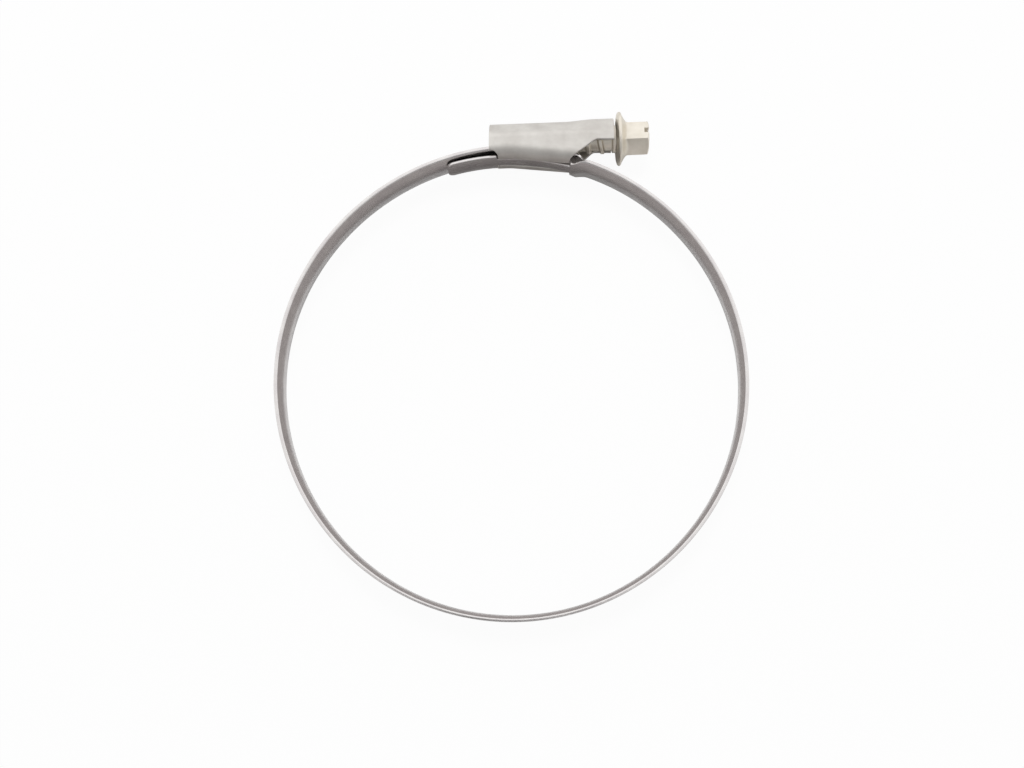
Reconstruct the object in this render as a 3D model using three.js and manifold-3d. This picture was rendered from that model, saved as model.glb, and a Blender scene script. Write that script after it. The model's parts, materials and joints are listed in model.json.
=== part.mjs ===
// Worm-drive hose clamp for a flexible duct of about 105 mm, in millimetres.
// The clamp lies flat: +Z is the axis of the ring, +Y points to the housing, +X to the screw's head,
// and the origin is the centre of the hose seat. Angles round the ring start at +Y and run clockwise.
import * as THREE from 'three';
import { mergeVertices } from 'three/addons/utils/BufferGeometryUtils.js';
import Module from 'manifold-3d';

const wasm = await Module();
wasm.setup();

// ---- driving dimensions -------------------------------------------------------------------------
// Steel strip of the band
const ringRadius = 52.7; // smooth inner face of the ring
const stripThickness = 0.6;
const bandWidth = 9;
const rollRadius = 1.4; // smooth face of the rolled edges
const rollAngle = THREE.MathUtils.degToRad(80);

// Fixed end: a tongue, a neck held by the housing, and a joggle out to the ring
const layerStep = 0.55; // how far the fixed end lies inside the ring
const tongueLength = 11.4; // tip to shoulder
const tongueWidth = 6.4;
const tongueCorner = 1.6;
const neckWidth = 3.4;
const joggleLength = 4.2;
const joggleGap = 0.2; // between the housing's end and the place where the strip widens again

// Threaded end: the free end of the same strip, drawn over the tongue by the worm
const runningClearance = 0.12;
const rollClearance = 0.12; // between the threaded end and the ring's rolled edges under it
const splitAngle = -60.7; // degrees, where the drawn stretch begins
const tipX = 16.2;
const tipCorner = 2;
const tipLand = 0.5; // plain strip left between the last groove and the tip
const tipRunOut = 3; // stretch at the tip over which the rolled edges die away
const splitGap = 0.3;

// Worm screw
const screwTilt = THREE.MathUtils.degToRad(2.2);
const pitch = 3;
const wormRadius = 3.1;
const rootRadius = 2.4;
const crestHalfWidth = 0.36;
const flankSlope = 0.5; // thread half width gained per millimetre of depth
const threadRunOut = 0.35; // turns over which the crest rises from the core and sinks back
const coreChamfer = 0.5;
const wormInset = 0.8; // of the screw's end inside the housing's left end
const shankRadius = 2.95;
const shankInset = 1.85; // of the thread's end inside the housing's right end
const shankTaper = 0.5;
const flangeGap = 0.85; // from the housing's right end to the flange
const flangeRadius = 5.8;
const flangeRim = 0.95;
const flangeEdge = 0.3;
const flareLength = 2.5;
const headLength = 7.25; // flange and hexagon together
const acrossFlats = 7;
const hexTurn = THREE.MathUtils.degToRad(22.6); // below +Z, the way one corner of the hexagon points
const chamferInset = 0.15; // of the chamfer's edge on the end face from the flats
const chamferAngle = THREE.MathUtils.degToRad(30);
const slotWidth = 1.1;
const slotDepth = 1.1;

// Thread pressed in the band
const grooveDepth = 0.45;
const grooveLength = 5.2;
const flankClearance = 0.16; // on each side of the thread in its groove
const meshClearance = 0.05;

// Housing, one pressed sheet wrapped round the screw and the band
const housingWall = 0.7;
const sideClearance = 0.2; // between a side wall and the band's edge
const housingFrom = -5.15;
const housingTo = 23.25;
const boreClearance = 0.3; // round the worm
const neckClearance = 0.8; // round the shank, where the crown is pressed out
const neckFrom = 12.2;
const neckRise = 6.5; // length over which the crown rises
const shoulderDrop = 0.8; // of the shoulder bends below the screw's axis
const bendClearance = 0.15; // between the rolled edges and the bends that they run in
const lipGap = 0.2; // between a lip and the fixed end's neck
const shoulderGap = 0.45; // between the lips' left ends and the tongue's shoulders
const lipClearance = 0.35; // between the lips' right ends and the threaded end over them
const lipInset = 2.05; // of the lips inside the walls at the left end
const lipCutMargin = 0.3; // of full wall left outside the cut that shortens the lips
const exitFrom = 13.2; // x where the screw's exit is cut up through the walls
const exitRise = 0.75; // straight part of that cut, above the fixed end
const exitHeel = 19; // x where its slant ends
const exitDrop = 1.9; // of its level part below the screw's axis
const exitHeelRadius = 1.2;

// ---- values that follow from them ---------------------------------------------------------------
const fixedEndRadius = ringRadius - layerStep;
const halfBand = bandWidth / 2;
const rolledLength = rollRadius * rollAngle;
const flatHalf = halfBand - rollRadius * Math.sin(rollAngle);
const rollHeight = rollRadius - (rollRadius - stripThickness) * Math.cos(rollAngle);
const housingWidth = bandWidth + 2 * (sideClearance + housingWall);
const cornerRadius = rollRadius + bendClearance + housingWall; // outside bends along the walls
const lipFrom = housingFrom + lipInset;
const shoulderX = lipFrom - shoulderGap;
const shoulderAngle = Math.asin(shoulderX / fixedEndRadius);
const tongueTipAngle = shoulderAngle - tongueLength / fixedEndRadius;
const joggleFromAngle = Math.asin((exitFrom + joggleGap) / fixedEndRadius);
const joggleToAngle = joggleFromAngle + joggleLength / ringRadius;
const splitTheta = THREE.MathUtils.degToRad(splitAngle);

// The threaded end slides along one circle. It passes over the tongue, over the rolled edges where
// the joggle ends, and through the ring's own radius at the split, and these fix its centre.
const feed = feedCircle([
  [tongueTipAngle, fixedEndRadius + stripThickness + runningClearance],
  [joggleToAngle, ringRadius + rollHeight + rollClearance],
  [splitTheta, ringRadius],
]);

function feedCircle(places) {
  // A circle through the origin's neighbourhood reaches radius + x sin a + y cos a at angle a.
  const rows = places.map(([angle]) => [Math.sin(angle), Math.cos(angle), 1]);
  const matrix = new THREE.Matrix3().set(...rows.flat()).invert();
  const answer = new THREE.Vector3(...places.map(([, reach]) => reach)).applyMatrix3(matrix);
  return { centre: new THREE.Vector2(answer.x, answer.y), radius: answer.z };
}

// The screw's axis keeps this distance from that centre, so the crests just clear the grooves.
const screwReach = feed.radius + stripThickness - grooveDepth + meshClearance + wormRadius;
const screwFoot = new THREE.Vector2(-Math.sin(screwTilt), Math.cos(screwTilt))
  .multiplyScalar(screwReach).add(feed.centre);
const meshRadius = feed.radius + stripThickness - grooveDepth / 2;
const grooveStep = pitch / meshRadius;
const screwAxisY = (x) => screwFoot.y + (x - screwFoot.x) * Math.tan(screwTilt);

// The housing's underside follows the fixed end to the ring's top. From there it runs straight to the
// screw's exit, where the lips end under the threaded end.
const feedY = (x) => feed.centre.y + Math.sqrt(feed.radius ** 2 - (x - feed.centre.x) ** 2);
const bottomSlope = (fixedEndRadius - feedY(exitFrom) + lipClearance + housingWall) / exitFrom;

// Places along the screw, counted from the point where the worm bites deepest.
const alongScrew = (x) => (x - screwFoot.x) / Math.cos(screwTilt);
const wormFrom = alongScrew(housingFrom) + wormInset;
const threadTo = alongScrew(housingTo) - shankInset;
const flangeFrom = alongScrew(housingTo) + flangeGap;
const headTo = flangeFrom + headLength;
const grooveWidth = 2 * (crestHalfWidth + grooveDepth * flankSlope + flankClearance);

// ---- materials ----------------------------------------------------------------------------------
const bandSteel = () => new THREE.MeshStandardMaterial({ color: '#a8a19d', metalness: 1, roughness: 0.32 });
const housingSteel = new THREE.MeshStandardMaterial({ color: '#c3bfb9', metalness: 1, roughness: 0.45 });
const platedSteel = new THREE.MeshStandardMaterial({ color: '#c9c2b6', metalness: 1, roughness: 0.35 });

// ---- helpers ------------------------------------------------------------------------------------
function bare(geometry) {
  const copy = geometry.index ? geometry.clone() : mergeVertices(geometry);
  copy.deleteAttribute('normal');
  copy.deleteAttribute('uv');
  return mergeVertices(copy, 1e-4);
}

function solidOf(geometry) {
  const closed = bare(geometry);
  return new wasm.Manifold(new wasm.Mesh({
    numProp: 3,
    vertProperties: new Float32Array(closed.attributes.position.array),
    triVerts: new Uint32Array(closed.index.array),
  }));
}

function geometryOf(solid) {
  const mesh = solid.getMesh();
  const geometry = new THREE.BufferGeometry();
  geometry.setAttribute('position', new THREE.BufferAttribute(mesh.vertProperties, 3));
  geometry.setIndex(new THREE.BufferAttribute(mesh.triVerts, 1));
  geometry.computeVertexNormals();
  return geometry;
}

// Skins a row of outlines, each a list of the same number of points, and closes both ends.
function loft(outlines, flatOutline) {
  const count = flatOutline.length;
  const turn = Math.sign(THREE.ShapeUtils.area(flatOutline));
  const index = [];
  for (let i = 0; i + 1 < outlines.length; i += 1) {
    for (let j = 0; j < count; j += 1) {
      const a = i * count + j;
      const b = i * count + ((j + 1) % count);
      index.push(a, b, b + count, a, b + count, a + count);
    }
  }
  const last = (outlines.length - 1) * count;
  for (const [a, b, c] of THREE.ShapeUtils.triangulateShape(flatOutline, [])) {
    const corner = [flatOutline[a], flatOutline[b], flatOutline[c]];
    const [p, q] = Math.sign(THREE.ShapeUtils.area(corner)) === turn ? [b, c] : [c, b];
    index.push(last + a, last + p, last + q, a, q, p);
  }
  const geometry = new THREE.BufferGeometry();
  const points = outlines.flat().flatMap((point) => [point.x, point.y, point.z]);
  geometry.setAttribute('position', new THREE.Float32BufferAttribute(points, 3));
  geometry.setIndex(index);
  if (volumeOf(geometry) < 0) {
    index.reverse();
    geometry.setIndex(index);
  }
  geometry.computeVertexNormals();
  return geometry;
}

function volumeOf(geometry) {
  const { position } = geometry.attributes;
  const corner = (i) => new THREE.Vector3().fromBufferAttribute(position, geometry.index.getX(i));
  let sum = 0;
  for (let i = 0; i < geometry.index.count; i += 3) {
    sum += corner(i).dot(corner(i + 1).cross(corner(i + 2))) / 6;
  }
  return sum;
}

const ease = (t) => {
  const clamped = THREE.MathUtils.clamp(t, 0, 1);
  return clamped * clamped * (3 - 2 * clamped);
};

// Evenly spaced values, both ends included.
const spread = (from, to, steps) => (
  Array.from({ length: steps + 1 }, (_, i) => from + ((to - from) * i) / steps));

// A round corner at the end of a strip: distances from the end, with what each takes off the half width.
const roundCorner = (radius) => spread(0.2, Math.PI / 2, 4).map((turn) => ({
  along: radius * (1 - Math.cos(turn)),
  loss: radius * (1 - Math.sin(turn)),
}));

// ---- strip --------------------------------------------------------------------------------------
// Outline of the strip across its width: x is along the ring's axis and y is the height over the
// smooth face. roll runs from 0, flat, to 1, fully rolled edges, on the same developed width.
const rollSteps = 4;
const leastRoll = 0.002; // a flat stretch keeps a trace of the bend, so that its radius stays a number

function stripOutline(halfWidth, roll) {
  const bend = Math.max(roll, leastRoll) * rollAngle;
  const radius = rolledLength / bend;
  const scale = halfWidth / (flatHalf + radius * Math.sin(bend));
  const edge = (faceRadius, v) => new THREE.Vector2(
    scale * (flatHalf + faceRadius * Math.sin(bend * v)),
    radius - faceRadius * Math.cos(bend * v),
  );
  const steps = spread(0, 1, rollSteps);
  const smooth = steps.map((v) => edge(radius, v));
  const back = steps.map((v) => edge(radius - stripThickness, v)).reverse();
  const right = [...smooth, ...back];
  const left = right.map((point) => new THREE.Vector2(-point.x, point.y)).reverse();
  return [...right, ...left];
}

// A stretch of strip bent round a centre. Each station gives the angle, the radius of the smooth
// face, the half width and the roll of the edges.
function bentStrip(stations, centre = new THREE.Vector2()) {
  const outlines = stations.map(({ angle, radius, halfWidth, roll }) => (
    stripOutline(halfWidth, roll).map((point) => new THREE.Vector3(
      centre.x + (radius + point.y) * Math.sin(angle),
      centre.y + (radius + point.y) * Math.cos(angle),
      point.x,
    ))));
  return loft(outlines, stripOutline(stations[0].halfWidth, stations[0].roll));
}

// ---- band: tongue, neck, joggle and ring, as far as the drawn stretch -------------------------
const ringEase = 1.2; // radians before the split over which the ring eases on to the drawn end's circle

function ringReach(angle) {
  const end = 2 * Math.PI + splitTheta;
  const start = end - ringEase;
  if (angle < start) return ringRadius;
  const t = (angle - start) / (end - start);
  const slope = feed.centre.x * Math.cos(end) - feed.centre.y * Math.sin(end);
  return ringRadius + slope * (end - start) * (t * t * t - t * t);
}

const shoulderStep = 0.05; // length over which a shoulder changes the width, as good as square

function bandGeometry() {
  const stations = [];
  const flat = (angle, halfWidth) => stations.push({ angle, radius: fixedEndRadius, halfWidth, roll: 0 });
  const edgeStep = shoulderStep / fixedEndRadius;
  for (const { along, loss } of roundCorner(tongueCorner)) {
    flat(tongueTipAngle + along / fixedEndRadius, tongueWidth / 2 - loss);
  }
  for (const angle of spread(tongueTipAngle + tongueCorner / fixedEndRadius, shoulderAngle, 3).slice(1)) {
    flat(angle, tongueWidth / 2);
  }
  for (const angle of spread(shoulderAngle + edgeStep, joggleFromAngle - edgeStep, 7)) {
    flat(angle, neckWidth / 2);
  }
  const joggleWidthAt = (t) => tongueWidth / 2 + (halfBand - tongueWidth / 2) * ease(t * 2);
  for (const t of spread(0, 1, 6)) {
    stations.push({
      angle: joggleFromAngle + (joggleToAngle - joggleFromAngle) * t,
      radius: fixedEndRadius + layerStep * ease(t),
      halfWidth: joggleWidthAt(t),
      roll: ease(t),
    });
  }
  const ringEnd = 2 * Math.PI + splitTheta - splitGap / ringRadius;
  for (const angle of spread(joggleToAngle, ringEnd, 80).slice(1)) {
    stations.push({ angle, radius: ringReach(angle), halfWidth: halfBand, roll: 1 });
  }
  return bentStrip(stations);
}

// ---- threaded end -------------------------------------------------------------------------------
const feedStart = Math.asin(
  (ringRadius * Math.sin(splitTheta) - feed.centre.x) / feed.radius,
);
const feedTip = Math.asin((tipX - feed.centre.x) / feed.radius);

function threadedEndGeometry() {
  const stations = [];
  const tipFrom = feedTip - tipRunOut / feed.radius;
  for (const angle of spread(feedStart, tipFrom, 30)) {
    stations.push({ angle, radius: feed.radius, halfWidth: halfBand, roll: 1 });
  }
  for (const { along, loss } of roundCorner(tipCorner).reverse()) {
    stations.push({
      angle: feedTip - along / feed.radius,
      radius: feed.radius,
      halfWidth: halfBand - loss,
      roll: ease(along / tipRunOut),
    });
  }
  const strip = solidOf(bentStrip(stations, feed.centre));
  const grooves = [];
  const first = Math.ceil((feedStart + screwTilt + grooveWidth / meshRadius) / grooveStep);
  const last = Math.floor((feedTip + screwTilt - (grooveWidth / 2 + tipLand) / meshRadius) / grooveStep);
  for (let k = first; k <= last; k += 1) grooves.push(solidOf(grooveGeometry(-screwTilt + k * grooveStep)));
  return geometryOf(wasm.Manifold.difference([strip, ...grooves]));
}

// One pressed groove: a slot with round ends, slanted by the lead of the thread.
function grooveGeometry(angle) {
  const half = (grooveLength - grooveWidth) / 2;
  const end = grooveWidth / 2;
  const outline = new THREE.Shape();
  outline.absarc(half, 0, end, -Math.PI / 2, Math.PI / 2, false);
  outline.absarc(-half, 0, end, Math.PI / 2, (3 * Math.PI) / 2, false);
  const depth = stripThickness + rollHeight; // out through the strip's face
  const geometry = new THREE.ExtrudeGeometry(outline, { depth, bevelEnabled: false, curveSegments: 4 });
  const floor = feed.radius + stripThickness - grooveDepth;
  const lead = Math.atan(pitch / (2 * Math.PI * (wormRadius - grooveDepth / 2)));
  const outward = new THREE.Vector3(Math.sin(angle), Math.cos(angle), 0);
  const along = new THREE.Vector3(Math.cos(angle), -Math.sin(angle), 0);
  const length = new THREE.Vector3(0, 0, Math.cos(lead)).addScaledVector(along, -Math.sin(lead));
  const place = new THREE.Matrix4().makeBasis(length, outward.clone().cross(length), outward);
  place.setPosition(new THREE.Vector3(feed.centre.x, feed.centre.y, 0).addScaledVector(outward, floor));
  return geometry.applyMatrix4(place);
}

// ---- housing ------------------------------------------------------------------------------------
// Half of the housing's section at x, from the lip's bend up to the crown: a corner bend, a shoulder
// bend and the crown over the screw, joined by their tangents. inset moves it in from the outside.
function housingHalf(x, inset) {
  const bottomY = x > 0 ? fixedEndRadius - x * bottomSlope : Math.sqrt(fixedEndRadius ** 2 - x * x);
  const lean = ease((x - neckFrom) / neckRise);
  const boreRadius = wormRadius + boreClearance;
  const neckBoreRadius = shankRadius + neckClearance;
  const crownRadius = boreRadius + housingWall + lean * (neckBoreRadius - boreRadius);
  const axisY = screwAxisY(x);
  const bendZ = housingWidth / 2 - cornerRadius;
  const toCrown = new THREE.Vector2(bendZ, -shoulderDrop);
  const handOver = toCrown.angle() - 2 * Math.PI + Math.acos((crownRadius - cornerRadius) / toCrown.length());
  const bends = [
    { z: bendZ, y: bottomY + cornerRadius, radius: cornerRadius, from: -Math.PI / 2, to: 0, steps: 6 },
    { z: bendZ, y: axisY - shoulderDrop, radius: cornerRadius, from: 0, to: handOver, steps: 4 },
    { z: 0, y: axisY, radius: crownRadius, from: handOver, to: Math.PI / 2, steps: 8 },
  ];
  return bends.flatMap(({ z, y, radius, from, to, steps }) => spread(from, to, steps).map((angle) => (
    new THREE.Vector2(z + (radius - inset) * Math.cos(angle), y + (radius - inset) * Math.sin(angle)))));
}

function housingOutline(x) {
  const lipEdge = neckWidth / 2 + lipGap;
  const side = (inset) => {
    const half = housingHalf(x, inset);
    return [new THREE.Vector2(lipEdge, half[0].y), ...half];
  };
  const mirrored = (points) => points.map((point) => new THREE.Vector2(-point.x, point.y)).reverse().slice(1);
  const outside = side(0);
  const inside = side(housingWall);
  return [
    ...outside, ...mirrored(outside),
    ...[...inside, ...mirrored(inside)].reverse(),
  ];
}

function housingGeometry() {
  const places = [
    ...spread(housingFrom, neckFrom, 9),
    ...spread(neckFrom, neckFrom + neckRise, 6).slice(1),
    ...spread(neckFrom + neckRise, housingTo, 3).slice(1),
  ];
  const outlines = places.map((x) => (
    housingOutline(x).map((point) => new THREE.Vector3(x, point.y, point.x))));
  const sheet = solidOf(loft(outlines, housingOutline(places[0])));
  return geometryOf(wasm.Manifold.difference([sheet, solidOf(screwExit()), solidOf(lipCut())]));
}

// Below the screw's exit the walls are cut away: up on a slant, then level to the housing's end.
function screwExit() {
  const clear = 8; // past the solid on every open side
  const foot = new THREE.Vector2(exitFrom, Math.sqrt(fixedEndRadius ** 2 - exitFrom ** 2) + exitRise);
  const heel = new THREE.Vector2(exitHeel, screwAxisY(exitHeel) - exitDrop);
  const slant = heel.clone().sub(foot).normalize();
  const turn = slant.angle();
  const back = exitHeelRadius * Math.tan(turn / 2);
  const shape = new THREE.Shape();
  shape.moveTo(foot.x, foot.y - clear);
  shape.lineTo(foot.x, foot.y);
  shape.lineTo(heel.x - slant.x * back, heel.y - slant.y * back);
  shape.absarc(heel.x + back, heel.y - exitHeelRadius, exitHeelRadius, Math.PI / 2 + turn, Math.PI / 2, true);
  shape.lineTo(housingTo + clear, heel.y);
  shape.lineTo(housingTo + clear, foot.y - clear);
  const depth = housingWidth + clear;
  return new THREE.ExtrudeGeometry(shape, { depth, bevelEnabled: false, curveSegments: 6 })
    .translate(0, 0, -depth / 2);
}

// The lips start further in than the walls, and a round corner leads from one to the other.
function lipCut() {
  const clear = 1; // past the housing's left end
  const reach = housingWidth / 2 - lipCutMargin;
  const shape = new THREE.Shape();
  shape.moveTo(housingFrom - clear, -reach);
  shape.lineTo(housingFrom, -reach);
  shape.quadraticCurveTo(lipFrom, -reach, lipFrom, -reach + lipInset);
  shape.lineTo(lipFrom, reach - lipInset);
  shape.quadraticCurveTo(lipFrom, reach, housingFrom, reach);
  shape.lineTo(housingFrom - clear, reach);
  const depth = cornerRadius + housingWall;
  const geometry = new THREE.ExtrudeGeometry(shape, { depth, bevelEnabled: false, curveSegments: 6 });
  const top = fixedEndRadius + (cornerRadius + housingWall) / 2;
  return geometry.rotateX(-Math.PI / 2).translate(0, top - depth, 0);
}

// ---- worm screw, along its own +Z, with zero where the worm bites deepest ------------------------
function screwGeometry() {
  const body = solidOf(turned([
    [0, wormFrom],
    [rootRadius - coreChamfer, wormFrom],
    [rootRadius, wormFrom + coreChamfer],
    [rootRadius, threadTo],
    [shankRadius, threadTo + shankTaper],
    [shankRadius, flangeFrom],
    [flangeRadius - flangeEdge, flangeFrom],
    [flangeRadius, flangeFrom + flangeEdge],
    [flangeRadius, flangeFrom + flangeRim],
    ...flare(),
    [0, flangeFrom + flangeRim + flareLength],
  ]));
  const endRadius = acrossFlats / 2 - chamferInset;
  const chamfer = solidOf(turned([
    [0, flangeFrom],
    [flangeRadius, flangeFrom],
    [flangeRadius, headTo - (flangeRadius - endRadius) * Math.tan(chamferAngle)],
    [endRadius, headTo],
    [0, headTo],
  ]));
  const slot = solidOf(new THREE.BoxGeometry(acrossFlats * 2, slotWidth, 2 * slotDepth)
    .rotateZ(hexCornerAngle - Math.PI / 6)
    .translate(0, 0, headTo));
  const head = solidOf(hexHead()).intersect(chamfer);
  return geometryOf(body.add(solidOf(threadGeometry())).add(head).subtract(slot));
}

function turned(profile) {
  const sides = 32;
  const points = profile.map(([radius, height]) => new THREE.Vector2(radius, height));
  return new THREE.LatheGeometry(points, sides).rotateX(Math.PI / 2);
}

// Hollow flare from the flange's rim down to the hexagon.
function flare() {
  const hollow = 0.35; // of the curve's turning point from both of its ends
  const from = new THREE.Vector2(flangeRadius - flangeEdge, flangeFrom + flangeRim + flangeEdge / 2);
  const to = new THREE.Vector2(acrossFlats / 2, flangeFrom + flangeRim + flareLength);
  const curve = new THREE.QuadraticBezierCurve(from, new THREE.Vector2(to.x + hollow, from.y + hollow), to);
  return curve.getPoints(7).map((point) => [point.x, point.y]);
}

// In the screw's own frame +X points to the band and +Y away from the ring's +Z side.
const hexCornerAngle = -Math.PI / 2 + hexTurn;

function hexHead() {
  const cornerReach = acrossFlats / Math.sqrt(3);
  const shape = new THREE.Shape(Array.from({ length: 6 }, (_, i) => {
    const angle = hexCornerAngle + (i * Math.PI) / 3;
    return new THREE.Vector2(cornerReach * Math.cos(angle), cornerReach * Math.sin(angle));
  }));
  const start = flangeFrom + flangeRim / 2;
  const depth = headTo - start;
  return new THREE.ExtrudeGeometry(shape, { depth, bevelEnabled: false }).translate(0, 0, start);
}

// Right-hand thread of trapezoid section, which sinks into the core at both ends.
function threadGeometry() {
  const stepsPerTurn = 20;
  const sink = 0.12; // of the thread's foot below the core's surface
  const leastRise = 0.04; // of its crest above that surface, where it begins and ends
  const foot = crestHalfWidth + (wormRadius - rootRadius + sink) * flankSlope;
  const from = wormFrom + coreChamfer + foot;
  const to = threadTo - foot;
  const turns = (to - from) / pitch;
  const outlines = spread(0, turns, Math.round(turns * stepsPerTurn)).map((turn) => {
    const rise = Math.min(1, turn / threadRunOut, (turns - turn) / threadRunOut);
    const crest = rootRadius + leastRise + (wormRadius - rootRadius - leastRise) * rise;
    const along = from + turn * pitch;
    const angle = (along / pitch) * 2 * Math.PI;
    const at = (radius, shift) => new THREE.Vector3(
      radius * Math.cos(angle), radius * Math.sin(angle), along + shift);
    return [
      at(rootRadius - sink, -foot),
      at(crest, -crestHalfWidth),
      at(crest, crestHalfWidth),
      at(rootRadius - sink, foot),
    ];
  });
  const section = [[0, -1], [1, -0.5], [1, 0.5], [0, 1]].map(([x, y]) => new THREE.Vector2(x, y));
  return loft(outlines, section);
}

function placeScrew(mesh) {
  const along = new THREE.Vector3(Math.cos(screwTilt), Math.sin(screwTilt), 0);
  const toBand = new THREE.Vector3(Math.sin(screwTilt), -Math.cos(screwTilt), 0);
  const seat = new THREE.Matrix4().makeBasis(toBand, new THREE.Vector3(0, 0, -1), along);
  seat.setPosition(screwFoot.x, screwFoot.y, 0);
  mesh.applyMatrix4(seat);
  return mesh;
}

// ---- assembly -----------------------------------------------------------------------------------
function named(name, geometry, material) {
  const mesh = new THREE.Mesh(geometry, material);
  mesh.name = name;
  return mesh;
}

const clamp = new THREE.Group();
clamp.add(named('band', bandGeometry(), bandSteel()));
clamp.add(named('band_threaded_end', threadedEndGeometry(), bandSteel()));
clamp.add(named('housing', housingGeometry(), housingSteel));
clamp.add(placeScrew(named('worm_screw', screwGeometry(), platedSteel)));

export default clamp;
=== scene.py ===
import json
import math

import bmesh
import bpy
import numpy as np
from mathutils import Matrix, Vector


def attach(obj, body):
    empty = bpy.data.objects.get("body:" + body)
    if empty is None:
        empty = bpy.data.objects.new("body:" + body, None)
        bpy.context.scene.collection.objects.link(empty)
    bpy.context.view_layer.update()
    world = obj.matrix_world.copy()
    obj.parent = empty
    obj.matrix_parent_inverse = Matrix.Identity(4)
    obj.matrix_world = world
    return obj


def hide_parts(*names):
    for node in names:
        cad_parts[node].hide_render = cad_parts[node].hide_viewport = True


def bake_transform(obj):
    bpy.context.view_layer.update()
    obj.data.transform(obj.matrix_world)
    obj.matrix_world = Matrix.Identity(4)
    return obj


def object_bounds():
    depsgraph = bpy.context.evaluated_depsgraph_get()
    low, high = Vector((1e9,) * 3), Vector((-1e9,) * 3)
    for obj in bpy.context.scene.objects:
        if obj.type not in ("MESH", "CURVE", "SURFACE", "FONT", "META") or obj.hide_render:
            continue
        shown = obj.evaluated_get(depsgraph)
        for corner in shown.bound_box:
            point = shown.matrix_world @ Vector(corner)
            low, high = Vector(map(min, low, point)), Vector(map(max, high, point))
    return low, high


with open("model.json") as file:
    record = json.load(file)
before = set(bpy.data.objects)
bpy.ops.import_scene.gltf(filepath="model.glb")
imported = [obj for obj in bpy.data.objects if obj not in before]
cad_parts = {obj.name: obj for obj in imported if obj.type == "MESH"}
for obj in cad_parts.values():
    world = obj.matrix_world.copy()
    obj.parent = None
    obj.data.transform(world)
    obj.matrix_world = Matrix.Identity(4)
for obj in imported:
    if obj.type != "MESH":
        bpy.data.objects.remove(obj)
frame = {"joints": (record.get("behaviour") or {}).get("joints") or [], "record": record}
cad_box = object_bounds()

mm = 0.001

# ---- sizes that the frame gives ----------------------------------------------------------------------------
joints = {joint["name"]: joint for joint in frame["joints"]}
feed_centre = Vector(joints["band_feed"]["pos_m"])
worm_foot = Vector(joints["worm_turn"]["pos_m"])
worm_along = -Vector(joints["worm_turn"]["axis"]).normalized()
worm_tilt = math.atan2(worm_along.y, worm_along.x)
groove_step = 2 * math.pi * frame["record"]["behaviour"]["couplings"][0]["ratio"]

# ---- sizes of the strip ------------------------------------------------------------------------------------
ring_radius = 52.7 * mm  # smooth inner face
strip_thickness = 0.6 * mm
strip_half = 4.5 * mm  # of the room for the strip, which is a little wider than the blank once that is formed
bow_radius = 20 * mm  # of the strip's slight bow across its width
bow_angle = math.radians(11.55)  # that the bow reaches where the edges are turned out
roll_radius = 0.35 * mm  # of the smooth face there
roll_angle = math.radians(75.45)
rim_length = 0.53 * mm  # left straight past the turn
cut_edge = 0.12 * mm  # radius that rolling leaves on the strip's cut edges
bowed_length = bow_radius * bow_angle
rolled_length = roll_radius * roll_angle
blank_half = bowed_length + rolled_length + rim_length  # half the width of the flat blank
split_angle = math.radians(299.3)  # where the threaded end begins
drift_angle = 1.2  # radians before the split, over which the ring eases on to the threaded end's circle

tongue_radius = ring_radius - 0.55 * mm
tongue_length = 11.4 * mm
tongue_half = 3.2 * mm
tongue_corner = 1.6 * mm
neck_half = 1.7 * mm
neck_corner = 0.25 * mm  # length of the corners at the neck's ends
shoulder_gap = 0.45 * mm  # between the tongue's shoulders and the housing's lips
joggle_gap = 0.2 * mm  # between the housing's exit and the place where the strip widens again
joggle_length = 4.2 * mm

threaded_tip_x = 16.2 * mm
threaded_tip_corner = 2 * mm
threaded_tip_run_out = 3 * mm  # over which the turned edges die away
thread_pitch = 3 * mm
groove_depth = 0.45 * mm
groove_length = 5.2 * mm
groove_width = 1.49 * mm
groove_land = 0.5 * mm  # plain strip between the last groove and the tip
mesh_radius = thread_pitch / groove_step  # of the circle on which the grooves are a pitch apart
feed_radius = mesh_radius - strip_thickness + groove_depth / 2  # of the threaded end's smooth face

# ---- sizes of the housing ----------------------------------------------------------------------------------
sheet_thickness = 0.7 * mm
housing_from = -5.15 * mm
housing_to = 23.25 * mm
wall_z = 5.4 * mm
bend_radius = 2.25 * mm
shoulder_drop = 0.8 * mm  # of the shoulder bends below the screw's axis
crown_radius = 4.1 * mm
neck_from = 12.2 * mm  # where the crown begins to rise over the shank
neck_run = 6.5 * mm
neck_rise = 0.35 * mm
lip_from = -3.1 * mm
lip_edge = 1.9 * mm
lip_cut_reach = 5.1 * mm
lip_clearance = 0.35 * mm  # between the lips' right ends and the threaded end over them
exit_from = 13.2 * mm
exit_rise = 0.75 * mm
exit_heel = 19 * mm
exit_heel_blend = 0.45 * mm  # over which the cut's slant turns level
exit_drop = 1.9 * mm  # of the cut's level run below the axis, on the near wall
far_exit_drop = 0.9 * mm  # and on the far one
cut_step = 0.3 * mm  # length over which one cut edge passes into the next
pressed_edge = 0.16 * mm  # radius that blanking and tumbling leave on the sheet's edges

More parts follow.
